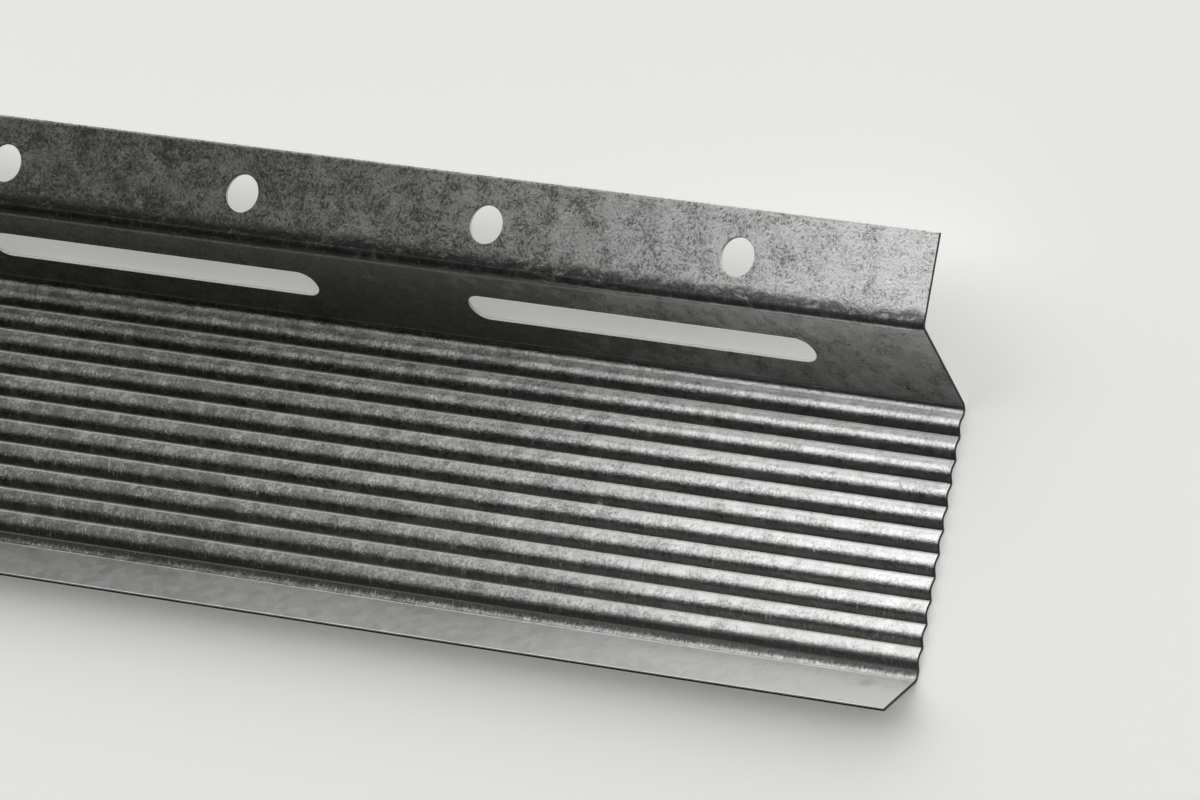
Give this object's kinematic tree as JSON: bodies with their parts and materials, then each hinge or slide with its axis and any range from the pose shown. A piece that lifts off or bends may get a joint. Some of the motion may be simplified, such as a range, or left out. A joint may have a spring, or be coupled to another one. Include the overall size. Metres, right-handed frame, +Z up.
{
  "type": "resilient channel",
  "caption": "Galvanised steel resilient channel: a punched flange, a slotted sloping web, a ribbed face and a lip, to hang plasterboard springily from joists.",
  "frame": {"origin": "middle of the length and of the width, on the floor under the ribbed face", "axes": "+X along the channel towards the end whose first hole is nearest, +Y from the lip to the flange, +Z up"},
  "size_m": [3, 0.0622, 0.014],
  "materials": {
    "galvanised_steel": "hot-dip galvanised sheet, rolled, satin with dark mottled weathering"
  },
  "bodies": {
    "root": {"resilient_channel": "galvanised_steel"}
  },
  "joints": []
}
